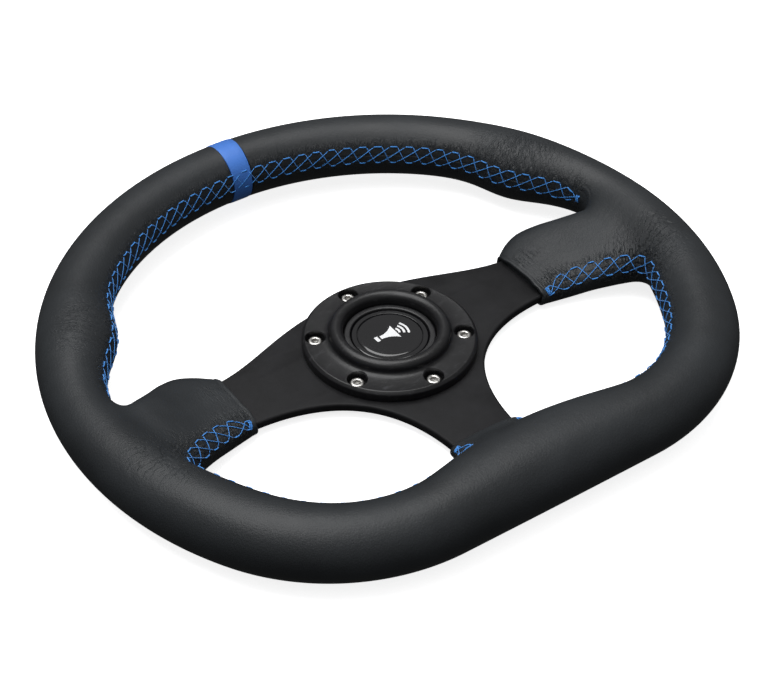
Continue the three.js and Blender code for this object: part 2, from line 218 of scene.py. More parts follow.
def rounded(corners, radii, steps=6):
    """An outline through corners, each cut by an arc-like curve of its own size.

    Each corner is replaced by a quadratic curve that starts and ends its size away
    from the corner, on the two sides that meet there.
    """
    corners = np.asarray(corners, float)
    out = []
    count = len(corners)
    for i, size in enumerate(radii):
        here = corners[i]
        if size <= 0:
            out.append(here[None])
            continue
        before, after = corners[i - 1] - here, corners[(i + 1) % count] - here
        start = here + before / np.linalg.norm(before) * size
        end = here + after / np.linalg.norm(after) * size
        t = np.linspace(0, 1, steps)[:, None]
        out.append((1 - t) ** 2 * start + 2 * t * (1 - t) * here + t ** 2 * end)
    return np.concatenate(out)


def shade_by_angle(obj, degrees=35):
    """Smooth shading that keeps edges sharper than the angle."""
    obj.data.polygons.foreach_set("use_smooth", np.ones(len(obj.data.polygons), bool))
    obj.data.set_sharp_from_angle(angle=math.radians(degrees))


def apply_modifiers(obj):
    """Replaces an object's mesh by what its modifiers make of it."""
    depsgraph = bpy.context.evaluated_depsgraph_get()
    mesh = bpy.data.meshes.new_from_object(obj.evaluated_get(depsgraph))
    old = obj.data
    obj.modifiers.clear()
    obj.data = mesh
    bpy.data.meshes.remove(old)


def cut(obj, cutters):
    """Subtracts closed cutters from obj and deletes them."""
    for cutter in cutters:
        step = obj.modifiers.new("cut", "BOOLEAN")
        step.operation = "DIFFERENCE"
        step.solver = "EXACT"
        step.object = cutter
    apply_modifiers(obj)
    for cutter in cutters:
        bpy.data.objects.remove(cutter)


def finish_piece(obj, body, slot, material, *nodes):
    """Gives a finished piece its material and body, and hides the nodes it replaces; slot is not
    used.
    """
    obj.data.materials.clear()
    obj.data.materials.append(material)
    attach(obj, body)
    if nodes:
        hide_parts(*nodes)
    return obj


# ---------------------------------------------------------------- materials


class Finish:
    """A material's nodes, with short calls for the patterns that the finishes share."""

    def __init__(self, name, color, roughness, metallic=0.0):
        self.material = bpy.data.materials.new(name)
        self.material.use_nodes = True
        self.nodes = self.material.node_tree.nodes
        self.links = self.material.node_tree.links
        self.shader = self.nodes["Principled BSDF"]
        self.shader.inputs["Base Color"].default_value = (*color, 1)
        self.shader.inputs["Roughness"].default_value = roughness
        self.shader.inputs["Metallic"].default_value = metallic
        self.place = self.nodes.new("ShaderNodeTexCoord").outputs["Object"]

    def link(self, source, target):
        self.links.new(source, target)

    def node(self, kind, **values):
        """A new node whose named sockets hold the given values."""
        node = self.nodes.new(kind)
        for socket, value in values.items():
            node.inputs[socket].default_value = value
        return node

    def specular(self, level):
        self.shader.inputs["Specular IOR Level"].default_value = level

    def stretched(self, scale):
        """Object coordinates multiplied by scale."""
        node = self.node("ShaderNodeMapping", Scale=scale)
        self.link(self.place, node.inputs["Vector"])
        return node.outputs["Vector"]

    def noise(self, scale, detail=3.0, rough=0.5, distortion=0.0, place=None):
        node = self.node("ShaderNodeTexNoise", Scale=scale, Detail=detail, Roughness=rough,
                         Distortion=distortion)
        self.link(place or self.place, node.inputs["Vector"])
        return node.outputs["Fac"]

    def cells(self, scale, smooth=None):
        """Distance to the nearest cell centre, with soft cell edges if smooth is given."""
        node = self.node("ShaderNodeTexVoronoi", Scale=scale)
        if smooth is not None:
            node.feature = "SMOOTH_F1"
            node.inputs["Smoothness"].default_value = smooth
        self.link(self.place, node.inputs["Vector"])
        return node.outputs["Distance"]

    def attribute(self, name, output="Fac"):
        node = self.node("ShaderNodeAttribute")
        node.attribute_name = name
        return node.outputs[output]

    def ramp(self, value, stops):
        """A value passed through (position, value or colour) stops."""
        node = self.node("ShaderNodeValToRGB")
        points = node.color_ramp.elements
        while len(points) < len(stops):
            points.new(0.5)
        for point, (position, shade) in zip(points, stops):
            point.position = position
            point.color = (*shade, 1) if hasattr(shade, "__len__") else (shade,) * 3 + (1,)
        self.link(value, node.inputs["Fac"])
        return node.outputs["Color"]

    def math(self, operation, a, b):
        node = self.node("ShaderNodeMath")
        node.operation = operation
        for socket, value in zip(node.inputs, (a, b)):
            if isinstance(value, (int, float)):
                socket.default_value = value
            else:
                self.link(value, socket)
        return node.outputs["Value"]

    def bump(self, height, distance, strength=1.0, under=None):
        """Adds a bump of that height in metres, over an earlier one if it is given."""
        node = self.node("ShaderNodeBump", Strength=strength, Distance=distance)
        self.link(height, node.inputs["Height"])
        if under is not None:
            self.link(under, node.inputs["Normal"])
        self.link(node.outputs["Normal"], self.shader.inputs["Normal"])
        return node.outputs["Normal"]

    def color(self, source):
        self.link(source, self.shader.inputs["Base Color"])

    def roughness(self, source):
        self.link(source, self.shader.inputs["Roughness"])

    def coat(self, weight, roughness):
        self.shader.inputs["Coat Weight"].default_value = weight
        self.shader.inputs["Coat Roughness"].default_value = roughness


def shades(color, dark, light):
    """The colour darkened and lightened."""
    base = np.array(color)
    return tuple(base * dark), tuple(np.minimum(base * light, 1))


def leather_finish(name, color, fold_marks=True):
    """Smooth grained leather: small pebbles, pores, faint blotches and tension folds.

    Near the seams the folds run straight away from the stitches: their pattern reads the
    distances along the seam and away from it, stretched away from it.
    """
    f = Finish(name, color, 0.5)
    dark, light = shades(color, 0.8, 1.22)
    blotch = f.noise(28, 4, 0.6)
    f.color(f.ramp(blotch, [(0.3, dark), (0.7, light)]))
    pebble = f.cells(1150, smooth=0.35)
    pores = f.noise(2600, 2, 0.6)
    grain = f.math("ADD", f.math("MULTIPLY", pebble, 0.8), f.math("MULTIPLY", pores, 0.35))
    bump = f.bump(grain, 0.00014, 0.5)
    slow = f.noise(80, 3, 0.55)
    bump = f.bump(slow, 0.0010, 0.25, bump)
    if fold_marks:
        creases = f.noise(1.0, 3, 0.55, 0.35, f.attribute("seam_place", "Vector"))
        lines = f.ramp(creases, [(0.36, 0.0), (0.47, 1.0), (0.53, 1.0), (0.66, 0.0)])
        marks = f.math("MULTIPLY", lines, f.attribute("fold"))
        bump = f.bump(marks, 0.0011, 0.9, bump)
        groove = f.ramp(f.attribute("seam"), [(0.0, 0.0), (0.10, 0.75), (0.22, 1.0)])
        f.bump(groove, 0.0008, 0.9, bump)
    f.roughness(f.ramp(blotch, [(0.25, 0.42), (0.75, 0.54)]))
    f.specular(0.4)
    return f.material


def thread_finish(color):
    """Twisted polyester thread: the plies wind round it, along the piece's UV map. Its colour is
    painted shade in the grooves between the plies and painted highlight on their crowns.
    """
    f = Finish("lacing_thread", color, 0.5)
    uv = f.nodes.new("ShaderNodeTexCoord").outputs["UV"]
    wave = f.nodes.new("ShaderNodeTexWave")
    wave.wave_type = "BANDS"
    wave.bands_direction = "DIAGONAL"
    wave.inputs["Scale"].default_value = 1.6
    f.link(uv, wave.inputs["Vector"])
    # The colour follows the same bands as the bump: painted shade in the grooves between the plies
    # and painted highlight on their crowns.
    dark, light = shades(color, 0.55, 1.25)
    f.color(f.ramp(wave.outputs["Fac"], [(0.1, dark), (0.7, light)]))
    f.bump(wave.outputs["Fac"], 0.00012, 0.8)
    f.shader.inputs["Sheen Weight"].default_value = 0.3
    return f.material


def plate_finish(color):
    """Matte powder paint: a fine dimpled film with faint dust-like specks."""
    f = Finish("matte_black_paint", color, 0.5)
    dark, light = shades(color, 0.8, 1.5)
    cloud = f.noise(60, 3, 0.6)
    f.color(f.ramp(cloud, [(0.35, dark), (0.75, light)]))
    fine = f.noise(3200, 2, 0.7)
    f.bump(fine, 0.00006, 0.5)
    f.roughness(f.ramp(cloud, [(0.3, 0.46), (0.7, 0.58)]))
    f.specular(0.16)
    return f.material


def ring_finish(color):
    """Satin black paint with light rub marks and scattered nicks."""
    f = Finish("satin_black_paint", color, 0.36)
    rub = f.noise(420, 4, 0.75, 1.2, f.stretched((0.35, 1.0, 1.0)))
    scratch = f.ramp(rub, [(0.58, 0.0), (0.68, 1.0)])
    dark, light = shades(color, 1.0, 3.2)
    mix = f.nodes.new("ShaderNodeMix")
    mix.data_type = "RGBA"
    f.link(scratch, mix.inputs["Factor"])
    mix.inputs["A"].default_value = (*dark, 1)
    mix.inputs["B"].default_value = (*light, 1)
    f.color(mix.outputs["Result"])
    f.roughness(f.ramp(rub, [(0.45, 0.30), (0.75, 0.48)]))
    f.bump(f.noise(1800, 2, 0.6), 0.00004, 0.45)
    f.specular(0.4)
    return f.material


def metal_finish(name, color, roughness, grain=900):
    """Bare metal with fine tool marks."""
    f = Finish(name, color, roughness, 1.0)
    marks = f.noise(grain, 3, 0.6, 0.2, f.stretched((1.0, 1.0, 0.12)))
    f.roughness(f.ramp(marks, [(0.3, roughness * 0.7), (0.7, roughness * 1.35)]))
    dark, light = shades(color, 0.86, 1.08)
    f.color(f.ramp(marks, [(0.3, dark), (0.7, light)]))
    f.bump(marks, 0.00003, 0.5)
    return f.material


def plastic_finish(name, color, roughness, coat=0.0):
    """Moulded black plastic with a faint uneven skin, and a lacquer if it is glossy."""
    f = Finish(name, color, roughness)
    skin = f.noise(700, 2, 0.5)
    f.roughness(f.ramp(skin, [(0.3, roughness * 0.85), (0.7, roughness * 1.15)]))
    f.bump(skin, 0.00002, 0.4)
    dark, light = shades(color, 0.85, 1.3)
    f.color(f.ramp(f.noise(45, 3), [(0.3, dark), (0.7, light)]))
    if coat:
        f.coat(coat, 0.04)
    return f.material


def foam_finish():
    """Open-celled moulded foam, with painted shade in its pores."""
    f = Finish("moulded_foam", (0.03, 0.03, 0.03), 0.9)
    pores = f.cells(900)
    # The colour follows the pores' depth: darker in the pits, which is painted shade in the pores.
    f.color(f.ramp(pores, [(0.1, (0.018, 0.018, 0.018)), (0.6, (0.05, 0.05, 0.05))]))
    f.bump(pores, 0.0003, 0.6)
    return f.material


MATERIALS = {}


def materials():
    """The wheel's materials, made once and kept by name."""
    if not MATERIALS:
        colors = bpy.context.scene.wheel_finishes
        MATERIALS.update(
            leather=leather_finish("black_leather", colors.leather),
            band=leather_finish("blue_leather", colors.band, fold_marks=False),
            thread=thread_finish(colors.thread),
            plate=plate_finish(colors.plate),
            ring=ring_finish(colors.ring),
            screw=metal_finish("bright_screw_steel", (0.52, 0.51, 0.49), 0.3),
            steel=metal_finish("plain_steel", (0.45, 0.46, 0.48), 0.38),
            brass=metal_finish("contact_brass", (0.72, 0.54, 0.24), 0.3),
            plastic=plastic_finish("satin_black_plastic", (0.010, 0.010, 0.011), 0.38),
            gloss=plastic_finish("gloss_black_plastic", (0.004, 0.004, 0.005), 0.12, coat=0.5),
            mark=plastic_finish("printed_white", (0.78, 0.80, 0.82), 0.35),
            foam=foam_finish(),
        )
    return MATERIALS


# ---------------------------------------------------------------- the leather's shape

# Swells of the grip as (height in mm, angle from 12 o'clock, spread in degrees)
THUMB = (3.0, 62, 8.5)
NECK = (-1.9, 81, 10)
PALM = (1.4, 118, 18)
HEEL = (4.6, 180, 31)
LEAN = 1.0  # how far a swell moves inwards, as a part of its height
RISE = 0.6  # how much a swell thickens the grip upwards

# Sleeves: reach from the axis, upper edge, lower edge, middle height, half height
SIDE_SLEEVE = np.array([
    (82, 23.6, -14.0, 2.6, 6.1),
    (90, 28.6, -15.8, 3.2, 7.1),
    (98, 30.8, -18.2, 4.4, 7.9),
    (107, 28.4, -21.8, 6.8, 8.7),
    (117, 22.8, -26.8, 9.8, 10.1),
    (128, 17.6, -33.0, 13.0, 10.6),
    (140, 14.0, -34.0, 15.6, 8.0),
    (150, 6.0, -24.0, 17.0, 3.0),
])
BOTTOM_SLEEVE = np.array([
    (72.5, 18.8, -18.8, 2.4, 4.1),
    (77, 19.3, -19.3, 3.2, 5.4),
    (84, 22.0, -22.0, 6.2, 8.0),
    (92, 29.0, -29.0, 10.6, 10.4),
    (100, 41.0, -41.0, 14.4, 11.6),
    (109, 48.0, -48.0, 16.2, 9.6),
    (120, 30.0, -30.0, 17.0, 3.0),
])
SLEEVE_POWER = 3.0  # 2 is an ellipse, and more is squarer
SIDE_BLEND = 8.0  # fillet between a side sleeve and the grip
BOTTOM_BLEND = 12.0
MOUTH_ROUND = 1.6


def hermite(x, table):
    """Smooth curve through each column of a table, by Catmull-Rom slopes."""
    t, values = table[:, 0], table[:, 1:]
    slopes = np.gradient(values, t, axis=0)
    i = np.clip(np.searchsorted(t, x) - 1, 0, len(t) - 2)
    span = (t[i + 1] - t[i])[..., None]
    s = np.clip((x - t[i]) / (t[i + 1] - t[i]), 0, 1)[..., None]
    return (
        (1 + 2 * s) * (1 - s) ** 2 * values[i] + s * (1 - s) ** 2 * span * slopes[i]
        + s ** 2 * (3 - 2 * s) * values[i + 1] + s ** 2 * (s - 1) * span * slopes[i + 1]
    )


def swell(angle):
    """How much thicker than the plain grip the rim is, at degrees from 12 o'clock."""
    return sum(
        size * np.exp(-((np.abs(angle) - centre) / spread) ** 2)
        for size, centre, spread in (THUMB, NECK, PALM, HEEL)
    )


def rim_offset(x, y):
    """Signed distance outwards from the rim's centre line, in plan.

    The line is the outline of a disc cut by a chord, grown by the corner radius.
    """
    s = bpy.context.scene.wheel_sizes
    radius, chord = s.rim_radius - s.rim_corner, s.rim_corner - s.rim_flat
    half = math.sqrt(radius ** 2 - chord ** 2)
    x = np.abs(x) / s.rim_stretch
    beside = np.maximum(
        (chord - radius) * x ** 2 + half ** 2 * (chord + radius - 2 * y), chord * x - half * y)
    inside = np.hypot(x, y) - radius
    below = np.where(x < half, chord - y, np.hypot(x - half, y - chord))
    return np.where(beside < 0, inside, below) - s.rim_corner


def rim_field(p):
    """Near zero on the rim's grip: an ellipse round the centre line that swells by angle."""
    s = bpy.context.scene.wheel_sizes
    x, y, z = p[..., 0], p[..., 1], p[..., 2]
    extra = swell(np.degrees(np.arctan2(x, y)))
    wide, thick = s.grip + extra, s.grip + RISE * extra
    out = (rim_offset(x, y) + LEAN * extra) / wide
    up = (z - s.rim_height) / thick
    return (np.hypot(out, up) - 1) * np.sqrt(wide * thick)


def sleeve_field(reach, across, z, table):
    """Near zero on a sleeve: a squared ellipse whose size changes with the reach."""
    upper, lower, middle, half = np.moveaxis(hermite(reach, table), -1, 0)
    width = (upper - lower) / 2
    a = np.abs((across - (upper + lower) / 2) / width)
    b = np.abs((z - middle) / half)
    g = np.maximum(a ** SLEEVE_POWER + b ** SLEEVE_POWER, 1e-9) ** (1 / SLEEVE_POWER)
    slope = np.hypot(
        (a / g) ** (SLEEVE_POWER - 1) / width, (b / g) ** (SLEEVE_POWER - 1) / half)
    wall = (g - 1) / np.maximum(slope, 1e-3)
    return smooth_max(wall, table[0, 0] - reach, MOUTH_ROUND)


def smooth_min(a, b, size):
    """The smaller of two fields, with a fillet of about that size where they cross."""
    h = np.maximum(size - np.abs(a - b), 0)
    return np.minimum(a, b) - h * h / (4 * size)


def smooth_max(a, b, size):
    return -smooth_min(-a, -b, size)


def leather_field(p):
    """Negative inside the wrapped rim and sleeves, zero on the leather."""
    x, y, z = p[..., 0], p[..., 1], p[..., 2]
    rim = rim_field(p)
    side = sleeve_field(np.abs(x), y, z, SIDE_SLEEVE)
    foot = sleeve_field(-y, x, z, BOTTOM_SLEEVE)
    side = np.where(np.abs(x) > SIDE_SLEEVE[-1, 0], 1e3, side)
    foot = np.where(-y > BOTTOM_SLEEVE[-1, 0], 1e3, foot)
    return smooth_min(smooth_min(rim, side, SIDE_BLEND), foot, BOTTOM_BLEND)


def gradient(field, p, step=0.05):
    """Central differences of a field at rows of points."""
    out = np.empty_like(p)
    for axis in range(3):
        move = np.zeros(3)
        move[axis] = step
        out[..., axis] = (field(p + move) - field(p - move)) / (2 * step)
    return out


def settle(p, level=0.0, rounds=5, reach=1.5):
    """Moves points along the leather field's gradient until they lie on a level of it."""
    for _ in range(rounds):
        slope = gradient(leather_field, p)
        size = np.maximum(np.linalg.norm(slope, axis=-1, keepdims=True), 0.2)
        step = -(leather_field(p) - level)[..., None] * slope / size ** 2
        length = np.linalg.norm(step, axis=-1, keepdims=True)
        p = p + step * np.minimum(1, reach / np.maximum(length, 1e-9))
    return p


def normals_at(p):
    slope = gradient(leather_field, p)
    return slope / np.maximum(np.linalg.norm(slope, axis=-1, keepdims=True), 1e-6)


def rim_points(along, around, radius_scale=1.0):
    """Points of the grip: along is the angle from 12 o'clock, around the section angle.

    From the centre line, found by walking out along the ray at that angle, the point
    lies wide*cos(around) outwards and thick*sin(around) up.
    """
    s = bpy.context.scene.wheel_sizes
    direction = np.stack([np.sin(along), np.cos(along)], -1)
    radius = np.full(along.shape, s.rim_radius)
    for _ in range(30):
        radius = radius - rim_offset(radius * direction[..., 0], radius * direction[..., 1]) * 0.8
    centre = radius[..., None] * direction
    e = 0.01
    x, y = centre[..., 0], centre[..., 1]
    gx = rim_offset(x + e, y) - rim_offset(x - e, y)
    gy = rim_offset(x, y + e) - rim_offset(x, y - e)
    normal = np.stack([gx, gy], -1) / (2 * e)
    extra = swell(np.degrees(along))
    wide = (s.grip + extra) * radius_scale
    thick = (s.grip + RISE * extra) * radius_scale
    out = wide * np.cos(around) - LEAN * extra
    plan = centre + normal * out[..., None]
    return np.concatenate([plan, (s.rim_height + thick * np.sin(around))[..., None]], -1)


def spoke_place(side):
    """Places reach, across and height on a spoke: 1 is right, -1 left and 0 the bottom."""
    def place(reach, across, height):
        x, y = (side * reach, across) if side else (across, -reach)
        return np.stack(np.broadcast_arrays(x, y, height), -1)
    return place


def sleeve_blank(table, side, steps=40, sides=48):
    """A closed rough sleeve: squared ellipses along the reach, with flat ends."""
    reach = np.linspace(table[0, 0], table[-1, 0], steps)
    upper, lower, middle, half = np.moveaxis(hermite(reach, table), -1, 0)[..., None]
    angle = np.linspace(0, 2 * np.pi, sides, endpoint=False)
    c, s = np.cos(angle), np.sin(angle)
    power = 2 / SLEEVE_POWER
    across = (upper + lower) / 2 + (upper - lower) / 2 * np.sign(c) * np.abs(c) ** power
    height = middle + half * np.sign(s) * np.abs(s) ** power
    points = spoke_place(side)(reach[:, None], across, height)
    faces = grid_faces(steps, sides, False, True)
    faces.append(list(range(sides)))
    faces.append(list(range((steps - 1) * sides, steps * sides)))
    return points.reshape(-1, 3), faces


def wrapped_blank():
    """The rough union of grip and sleeves, remeshed evenly and settled on the field."""
    along, around = np.meshgrid(
        np.linspace(0, 2 * np.pi, 240, endpoint=False) - np.pi,
        np.linspace(0, 2 * np.pi, 40, endpoint=False), indexing="ij")
    parts = [(rim_points(along, around).reshape(-1, 3), grid_faces(240, 40, True, True))]
    parts += [sleeve_blank(SIDE_SLEEVE if side else BOTTOM_SLEEVE, side) for side in (1, -1, 0)]
    points, faces, start = [], [], 0
    for vertices, quads in parts:
        points.append(vertices)
        faces += [[k + start for k in quad] for quad in quads]
        start += len(vertices)
    blank = mesh_object("wrapped_blank", np.concatenate(points), faces)
    with edited(blank.data) as work:
        bmesh.ops.recalc_face_normals(work, faces=work.faces)
    remesh = blank.modifiers.new("even", "REMESH")
    remesh.mode = "VOXEL"
    remesh.voxel_size = bpy.context.scene.wheel_sizes.voxel * MM * 1
    apply_modifiers(blank)
    relax = blank.modifiers.new("relax", "SMOOTH")
    relax.factor = 0.5
    relax.iterations = 4
    apply_modifiers(blank)
    write_points(blank.data, settle(read_points(blank.data)))
    return blank


# ---------------------------------------------------------------- seams

SEAM_TILT = 167  # section angle of the seam on the grip, in degrees
BAND_HALF = 5.85  # half width of the gap for the band at 12 o'clock
SEAM_ANGLE = 107  # where the upper and lower leather meet, from 12 o'clock
FOAM_DEPTH = 2.2  # how far the foam lies under the leather's face
FOAM_STEP = 2.6  # spacing of the foam's mesh


def seam_walk(centre, directions, heights, reach=150):
    """First leather met by rays in plan from a centre inside an opening."""
    t = np.linspace(0, reach, 600)
    plan = centre + t[None, :, None] * directions[:, None, :]
    z = np.broadcast_to(heights[:, None, None], plan.shape[:2] + (1,))
    field = leather_field(np.concatenate([plan, z], -1))
    first = np.argmax(field < 0, axis=1)
    start = centre + t[first][:, None] * directions
    return settle(np.concatenate([start, heights[:, None]], -1))


def even_path(points, step=0.5):
    """A path smoothed a little and resampled at even steps."""
    kernel = np.ones(7) / 7
    padded = np.concatenate([points[:1].repeat(3, 0), points, points[-1:].repeat(3, 0)])
    points = np.stack([np.convolve(padded[:, k], kernel, "valid") for k in range(3)], -1)
    along = np.concatenate([[0], np.cumsum(np.linalg.norm(np.diff(points, axis=0), axis=1))])
    at = np.linspace(0, along[-1], int(along[-1] / step))
    return settle(np.stack([np.interp(at, along, points[:, k]) for k in range(3)], -1)), at


def upper_seam():
    """Along the inside of the rim, from the left notch over 12 o'clock to the right one."""
    s = bpy.context.scene.wheel_sizes
    angle = np.radians(np.linspace(-102, 102, 500))
    directions = np.stack([np.sin(angle), np.cos(angle)], -1)
    centre = np.array([0.0, 52.0])
    turn = np.abs(np.degrees(angle))
    grip_rise = s.grip * math.sin(math.radians(SEAM_TILT))
    heights = s.rim_height + grip_rise - 2.0 * np.clip((turn - 88) / 14, 0, 1)
    return even_path(seam_walk(centre, directions, heights))


def lower_seam(side):
    """From a side sleeve's mouth, round the opening below it, to the bottom sleeve's mouth."""
    s = bpy.context.scene.wheel_sizes
    centre, mouth, foot = np.array([(62.0, -50.0), (83.0, -14.0), (19.0, -75.0)])
    start, end = (math.atan2(y, x) for x, y in (mouth - centre, foot - centre))
    angle = np.linspace(start, end, 700)
    directions = np.stack([side * np.cos(angle), np.sin(angle)], -1)
    grip_rise = s.rim_height + s.grip * math.sin(math.radians(SEAM_TILT))
    part = np.linspace(0, 1, 700)
    heights = np.interp(part, [0, 0.08, 0.16, 0.24, 0.34, 0.72, 0.86, 0.95, 1],
                        [6.0, 10.5, 15.5, 20.0, grip_rise, grip_rise, 18.0, 14.0, 5.5])
    return even_path(seam_walk(centre * (side, 1), directions, heights))


SEAMS = {}


def seams():
    """Each seam as its name, path and distances along it."""
    if not SEAMS:
        SEAMS["lacing_upper"] = upper_seam()
        SEAMS["lacing_lower_right"] = lower_seam(1)
        SEAMS["lacing_lower_left"] = lower_seam(-1)
    return SEAMS


def thread_tubes(start, end, lift, radius, steps=9, sides=6):
    """Threads from start to end rows of points, each a thin tube over the leather.

    A thread's middle line is the straight line between its ends, laid on the leather
    and lifted by its own radius, with both ends sunk into the leather.
    """
    t = np.linspace(0, 1, steps)
    line = start[:, None] + (end - start)[:, None] * t[None, :, None]
    line = settle(line.reshape(-1, 3), rounds=3).reshape(line.shape)
    normal = normals_at(line.reshape(-1, 3)).reshape(line.shape)
    sink = np.clip(np.minimum(t, 1 - t) * (steps - 1) / 1.2, 0, 1)
    rise = (lift + radius[:, None]) * sink - 0.35 * (1 - sink)
    line = line + normal * rise[..., None]
    tangent = np.gradient(line, axis=1)
    tangent /= np.linalg.norm(tangent, axis=-1, keepdims=True)
    across = np.cross(tangent, normal)
    across /= np.linalg.norm(across, axis=-1, keepdims=True)
    over = np.cross(across, tangent)
    angle = np.linspace(0, 2 * np.pi, sides, endpoint=False)
    ring = (
        across[:, :, None] * np.cos(angle)[:, None] + over[:, :, None] * np.sin(angle)[:, None])
    points = line[:, :, None] + ring * radius[:, None, None, None]
    count = len(start)
    base = np.array(grid_faces(steps, sides, False, True))
    shift = (np.arange(count) * steps * sides)[:, None, None]
    faces = (base[None] + shift).reshape(-1, 4).tolist()
    caps = np.arange(sides)
    faces += (caps[None] + shift[:, 0]).tolist()
    faces += (caps[None] + shift[:, 0] + (steps - 1) * sides).tolist()
    along = np.linalg.norm(end - start, axis=1)[:, None] * t
    uv = np.stack([
        np.broadcast_to(along[..., None], points.shape[:3]) / 2,
        np.broadcast_to(angle / 4, points.shape[:3]),
    ], -1)
    return points.reshape(-1, 3), faces, uv.reshape(-1, 2)


def lace(name, path, at):
    """One seam's lacing: dashes along two rows, joined by a steep and a long crossing.

    Stitch i has a dash on each row. A steep thread goes from the upper dash's end to
    the next lower dash, and a long one from the lower dash's end to the upper dash
    two stitches on. At both ends threads are wound over the edge.
    """
    s = bpy.context.scene.wheel_sizes
    pitch, half, thick = s.stitch_pitch, s.stitch_width / 2, s.thread / 2
    length = at[-1]
    count = round(length / pitch)
    pitch = length / count
    normal = normals_at(path)
    tangent = np.gradient(path, axis=0)
    tangent /= np.linalg.norm(tangent, axis=1, keepdims=True)
    across = np.cross(normal, tangent)
    across /= np.linalg.norm(across, axis=1, keepdims=True)
    if across[len(across) // 2, 2] < 0:
        across = -across
    sample = lambda values, where: np.stack(
        [np.interp(where, at, values[:, k]) for k in range(3)], -1)

    def row(where, level):
        where = np.clip(where, 0.3, length - 0.3)
        taper = np.clip(np.minimum(where, length - where) / (1.2 * pitch), 0.45, 1)
        return sample(path, where) + sample(across, where) * (level * half * taper)[:, None]

    rng = np.random.default_rng(len(name))
    first = (np.arange(count + 2) - 1) * pitch
    jitter = lambda: rng.normal(0, 0.18, count + 2)
    u0, u1 = first + jitter(), first + 0.44 * pitch + jitter()
    l0, l1 = first + 0.04 * pitch + jitter(), first + 0.42 * pitch + jitter()
    starts = [row(u0, 1), row(l0, -1), row(u1[:-1], 1), row(l1[:-2], -1)]
    ends = [row(u1, 1), row(l1, -1), row(l0[1:], -1), row(u0[2:], 1)]
    radii = [np.full(count + 2, thick * 1.3)] * 2 + [
        np.full(count + 1, thick * 0.85), np.full(count, thick * 0.85)]
    wound = np.array([0.4, 1.1, 2.0, length - 2.0, length - 1.1, length - 0.4])
    starts.append(row(wound, 1))
    ends.append(row(wound[[1, 2, 0, 4, 5, 3]], -1))
    radii.append(np.full(6, thick * 1.1))
    lifts = np.concatenate([
        np.full(len(rows), 0.05 + 0.12 * (k > 2)) for k, rows in enumerate(starts)])
    starts, ends, radii = map(np.concatenate, (starts, ends, radii))
    real = np.linalg.norm(ends - starts, axis=1) > 0.9
    starts, ends, radii, lifts = starts[real], ends[real], radii[real], lifts[real]
    points, faces, uv = thread_tubes(starts, ends, lifts[:, None], radii)
    return orient(mesh_object(name, points, faces, uv=uv))


# ---------------------------------------------------------------- operators


# Where the leather folds, as x, y, size in millimetres and strength
FOLDS = (
    (127, 27, 10, 0.35), (122, -34, 13, 1.0), (148, -26, 16, 0.35), (90, -14, 8, 0.8),
    (88, 14, 8, 0.35), (24, -84, 8, 0.7), (110, 64, 16, 0.3), (134, 60, 14, 0.25),
)


def add_values(obj, name, kind, field, values):
    obj.data.attributes.new(name, kind, "POINT").data.foreach_set(
        field, np.ascontiguousarray(values, dtype=np.float32).ravel())


def panel_attributes(obj):
    """Marks each vertex's place by the nearest seam, and how much the leather folds there."""
    points = read_points(obj.data)
    paths = [(path[::2], at[::2] + 1000 * k) for k, (path, at) in enumerate(seams().values())]
    lines = np.concatenate([path for path, _ in paths])
    along = np.concatenate([at for _, at in paths])
    near, place = np.empty(len(points)), np.empty(len(points))
    for start in range(0, len(points), 4000):
        block = points[start:start + 4000]
        gap = ((block[:, None] - lines[None]) ** 2).sum(-1)
        first = gap.argmin(1)
        near[start:start + 4000] = np.sqrt(gap[np.arange(len(block)), first])
        place[start:start + 4000] = along[first]
    add_values(obj, "seam", "FLOAT", "value", np.clip(near / 4, 0, 1))
    add_values(obj, "seam_place", "FLOAT_VECTOR", "vector", np.stack(
        [place / 1.5, near / 10, 0 * near], -1))
    x, y = np.abs(points[:, 0]), points[:, 1]
    fold = sum(
        strength * np.exp(-((x - cx) ** 2 + (y - cy) ** 2) / size ** 2)
        for cx, cy, size, strength in FOLDS)
    pucker = 0.3 * np.exp(-((near - 5.5) / 2.5) ** 2)
    fade = np.clip((34 - near) / 12, 0, 1)
    add_values(obj, "fold", "FLOAT", "value", np.clip((fold + pucker) * fade, 0, 1))


def slice_panel(source, name, planes):
    """A closed copy of source, kept on the inner side of each (point, normal) plane."""
    mesh = source.data.copy()
    with edited(mesh) as work:
        for point, normal in planes:
            everything = work.verts[:] + work.edges[:] + work.faces[:]
            result = bmesh.ops.bisect_plane(
                work, geom=everything, plane_co=Vector(point) * MM, plane_no=Vector(normal),
                clear_outer=True)
            edges = [e for e in result["geom_cut"] if isinstance(e, bmesh.types.BMEdge)]
            bmesh.ops.edgeloop_fill(work, edges=edges)
        bmesh.ops.recalc_face_normals(work, faces=work.faces)
    obj = new_object(name, mesh)
    shade_by_angle(obj, 60)
    return obj


